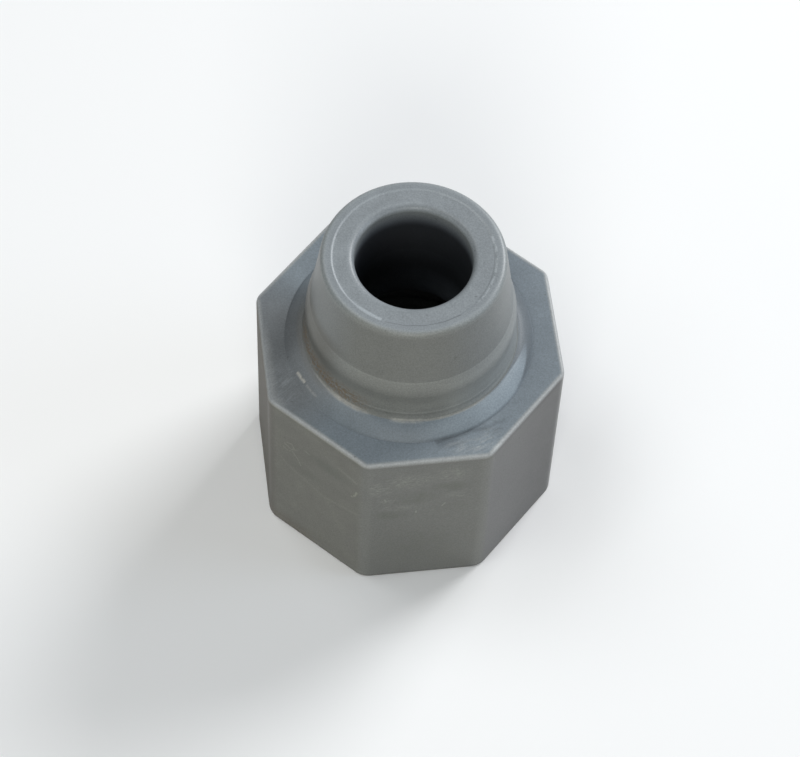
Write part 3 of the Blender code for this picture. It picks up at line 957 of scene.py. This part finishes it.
def acetal():
    """Satin grey acetal: mottled, rubbed pale on its edges, scuffed, torn and dirtied as in use.

    It also carries painted highlights, painted shade and painted tints of the light.
    """
    material = bpy.data.materials.new("grey_acetal")
    material.use_nodes = True
    tree = Tree(material.node_tree)
    shader = material.node_tree.nodes["Principled BSDF"]
    shader.inputs["IOR"].default_value = 1.48
    on = Surface(tree)
    flash = torn_flash(on)
    streaks = collar_streaks(on)
    scarred, white, scar_relief = scar(on)
    scuff = scuffs(on)

    # Tone: moulded grain, soft clouds and a slight flow pattern, then the marks, painted highlights
    # and painted shade
    grain = on.noise(0.13, 1.0)
    broad = on.noise(7.0, 1.0)
    tone = 1.0 + (grain - 0.5) * 0.55 + (on.cloud - 0.5) * 0.18 + (broad - 0.5) * 0.12
    tone = tone * (1.0 + wear_and_painted_light(on))
    torn = torn_burr(on).most(flash).most(streaks * on.ragged.rise(0.25, 0.5))
    tone = tone * (1.0 + 0.75 * torn) * (1.0 + scarred) * (1.0 + drag_lines(on) * 0.26)
    tone = tone * end_face_marks(on) * bore_painted_shade(on) * flat_tone(on, scuff) * collar_shade(on)

    # Painted tints of the light: bluish where cool light from above falls, on the faces that look
    # up, the end face and the snout's sides, a bluish painted reflection in the bore, and a neutral
    # painted highlight on the top edge. The top face at the left is darkened as painted shadow of
    # the snout, and the corner by the far left flat as painted shade. The flats and the snout's
    # front stay browner, and the flats are stained, the far left one darkest
    cool_lit_snout = on.snout * on.way.band(-105, 15, 45).rise(1.0, 0.0)
    cool_lit_end_face = on.radius.rise(7.7, 7.2) * on.z.rise(TIP_HEIGHT - 0.6, TIP_HEIGHT - 0.3)
    top_left_shadow = on.facing_up * on.degrees.band(185, 18, 28)
    far_corner_shade = on.degrees.band(200.5, 2.2, 3.5) * 0.85
    colour = tree.node("ShaderNodeCombineXYZ", None, {"X": 0.199, "Y": 0.209, "Z": 0.2})
    colour = Value(tree, colour.outputs[0])
    for mask, stain in (
        (on.facing_up * (1.0 - on.edge), (0.184, 0.217, 0.244)),
        (on.edge * 0.8, (0.211, 0.219, 0.224)),
        (cool_lit_snout, (0.196, 0.214, 0.219)),
        (cool_lit_end_face, (0.207, 0.227, 0.241)),
        (on.inside, (0.185, 0.21, 0.25)),
        (top_left_shadow * 0.8, (0.176, 0.187, 0.195)),
        (on.side * on.left * 0.85, (0.195, 0.199, 0.178)),
        (on.side * on.far_left.most(far_corner_shade), (0.118, 0.11, 0.091)),
        (on.side * on.right * 0.8, (0.2, 0.204, 0.212)),
        (smudges(on).clamp() * 0.85, (0.15, 0.161, 0.143)),
        (flash.most(streaks).clamp(), (0.222, 0.222, 0.21)),
        (on.top * white.clamp() * 0.7, (0.212, 0.224, 0.226)),
    ):
        colour = on.stained(colour, mask, stain)
    colour = tree.scaled(colour, tone)

    # Dirt and painted shade lie over the plastic: dirt with painted shade on the neck's left, orange
    # dirt in the crease, a dark band of painted shade round the foot of the flats, dirt at the left
    # foot, and grit
    crust = on.noise(0.22, 3.0)
    brown_dirt_and_shade, orange = crease_dirt_and_shade(on, crust)
    foot_shade = on.z.rise(0.45, 0.05)
    left_foot = on.z.rise(2.4, 0.1) * on.degrees.band(195, 20, 16) * crust.rise(0.25, 0.6)
    left_foot = left_foot * on.out.rise(APOTHEM - 0.4, APOTHEM - 0.2)
    grit = on.noise(0.45, 0.0).rise(0.83, 0.88)
    for mask, dirt in (
        (brown_dirt_and_shade * 0.65, (0.118, 0.111, 0.09)),
        (orange * 0.85, (0.2, 0.153, 0.105)),
        (foot_shade * 0.65, (0.07, 0.066, 0.058)),
        (left_foot * 0.5, (0.12, 0.088, 0.06)),
        (grit * 0.3, (0.05, 0.05, 0.05)),
    ):
        colour = on.stained(colour, mask, dirt)
    tree.tree.links.new(colour.socket, shader.inputs["Base Color"])

    # Dirt, scuffs and the faces that look up are rougher; the relief is the grain and the scar
    roughness = 0.4 + (on.cloud - 0.5) * 0.1 + on.facing_up * 0.1 + on.inside * 0.2
    roughness = roughness + scuff * 0.12 + orange * 0.3 + on.far_left * 0.2
    tree.tree.links.new(roughness.socket, shader.inputs["Roughness"])
    relief = (grain - 0.5) * 0.007 + (on.cloud - 0.5) * 0.013 + scar_relief
    bump = {"Strength": 1.0, "Distance": MM, "Height": relief}
    bump = tree.value("ShaderNodeBump", None, bump)
    tree.tree.links.new(bump.socket, shader.inputs["Normal"])
    return material


def aim_camera():
    """A camera at the photograph's viewing angle, looking down on the nut's front."""
    focus_pixels = 3322.7
    distance = 0.29119
    aim_height = 0.01084
    elevation, roll, side = (math.radians(angle) for angle in (57.795, 3.1435, -9.678))
    turn = Matrix.Rotation(side, 3, "Z")
    back = turn @ Vector((0, -math.cos(elevation), math.sin(elevation)))
    level = turn @ Vector((1, 0, 0))
    rise = back.cross(level)
    right = level * math.cos(roll) + rise * math.sin(roll)
    up = rise * math.cos(roll) - level * math.sin(roll)
    data = bpy.data.cameras.new("camera")
    data.sensor_width = SENSOR_WIDTH
    data.lens = focus_pixels * SENSOR_WIDTH / PICTURE_WIDTH
    data.shift_x = -0.00856
    data.shift_y = 0.00967
    data.clip_start = 0.01
    camera = bpy.data.objects.new("camera", data)
    place = Matrix((right, up, back)).transposed().to_4x4()
    place.translation = back * distance + Vector((0, 0, aim_height))
    camera.matrix_world = place
    bpy.context.scene.collection.objects.link(camera)
    bpy.context.scene.camera = camera


def add_lamp(name, way, elevation, power, colour):
    """A round soft lamp aimed at the nut. way is its direction in degrees from +X."""
    aim = Vector((0, 0, 0.02))
    way, elevation = math.radians(way), math.radians(elevation)
    flat = math.cos(elevation)
    back = Vector((flat * math.cos(way), flat * math.sin(way), math.sin(elevation)))
    data = bpy.data.lights.new(name, "AREA")
    data.shape = "DISK"
    data.size = LAMP_SIZE
    data.energy = power
    data.color = colour
    lamp = bpy.data.objects.new(name, data)
    lamp.location = aim + back * LAMP_DISTANCE
    lamp.rotation_euler = back.to_track_quat("Z", "Y").to_euler()
    bpy.context.scene.collection.objects.link(lamp)


def light_studio():
    """A soft key from behind at the right, weaker lamps round the nut, and a dim pale room."""
    for name, way, elevation, power, colour in (
        ("key lamp", 38, 33, 2.85, (0.98, 0.99, 1.0)),
        ("front lamp", -100, 32, 1.2, (1.0, 1.0, 0.96)),
        ("right lamp", -10, 32, 0.5, (0.7, 0.82, 1.0)),
        ("left lamp", -160, 62, 0.6, (0.97, 1.0, 0.97)),
        ("back lamp", 140, 62, 0.72, (0.95, 0.98, 1.0)),
    ):
        add_lamp(name, way, elevation, power, colour)
    world = bpy.data.worlds.new("studio")
    bpy.context.scene.world = world
    world.use_nodes = True
    background = world.node_tree.nodes["Background"]
    background.inputs["Color"].default_value = (1.0, 1.0, 1.0, 1.0)
    background.inputs["Strength"].default_value = 0.13
    bpy.context.scene.view_settings.view_transform = "Standard"


def floor_paint():
    """Pale to the camera and in reflections, but dim and warm in the light it throws back."""
    material = bpy.data.materials.new("floor")
    material.use_nodes = True
    tree = Tree(material.node_tree)
    for node in list(material.node_tree.nodes):
        material.node_tree.nodes.remove(node)
    path = tree.node("ShaderNodeLightPath")
    seen = Value(tree, path.outputs["Is Camera Ray"])
    for ray in ("Is Glossy Ray", "Is Transmission Ray"):
        seen = seen.most(Value(tree, path.outputs[ray]))
    thrown = tree.value("ShaderNodeBsdfDiffuse", None, {"Color": (0.27, 0.24, 0.2, 1.0)})
    shown = tree.value("ShaderNodeBsdfDiffuse", None, {"Color": (0.9, 0.9, 0.9, 1.0)})
    mix = tree.value("ShaderNodeMixShader", None, {0: seen, 1: thrown, 2: shown})
    tree.node("ShaderNodeOutputMaterial", None, {"Surface": mix})
    return material


def lay_floor():
    """A wide plain floor for the nut to stand on."""
    mesh = bpy.data.meshes.new("floor")
    corners = [(x * FLOOR_HALF, y * FLOOR_HALF, 0) for x, y in ((-1, -1), (1, -1), (1, 1), (-1, 1))]
    mesh.from_pydata(corners, [], [(0, 1, 2, 3)])
    mesh.materials.append(floor_paint())
    floor = bpy.data.objects.new("floor", mesh)
    bpy.context.scene.collection.objects.link(floor)


aim_camera()
light_studio()
lay_floor()
nut = build_moulding(acetal())
press_marks(nut)
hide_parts("tubing_nut")
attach(nut, "root")
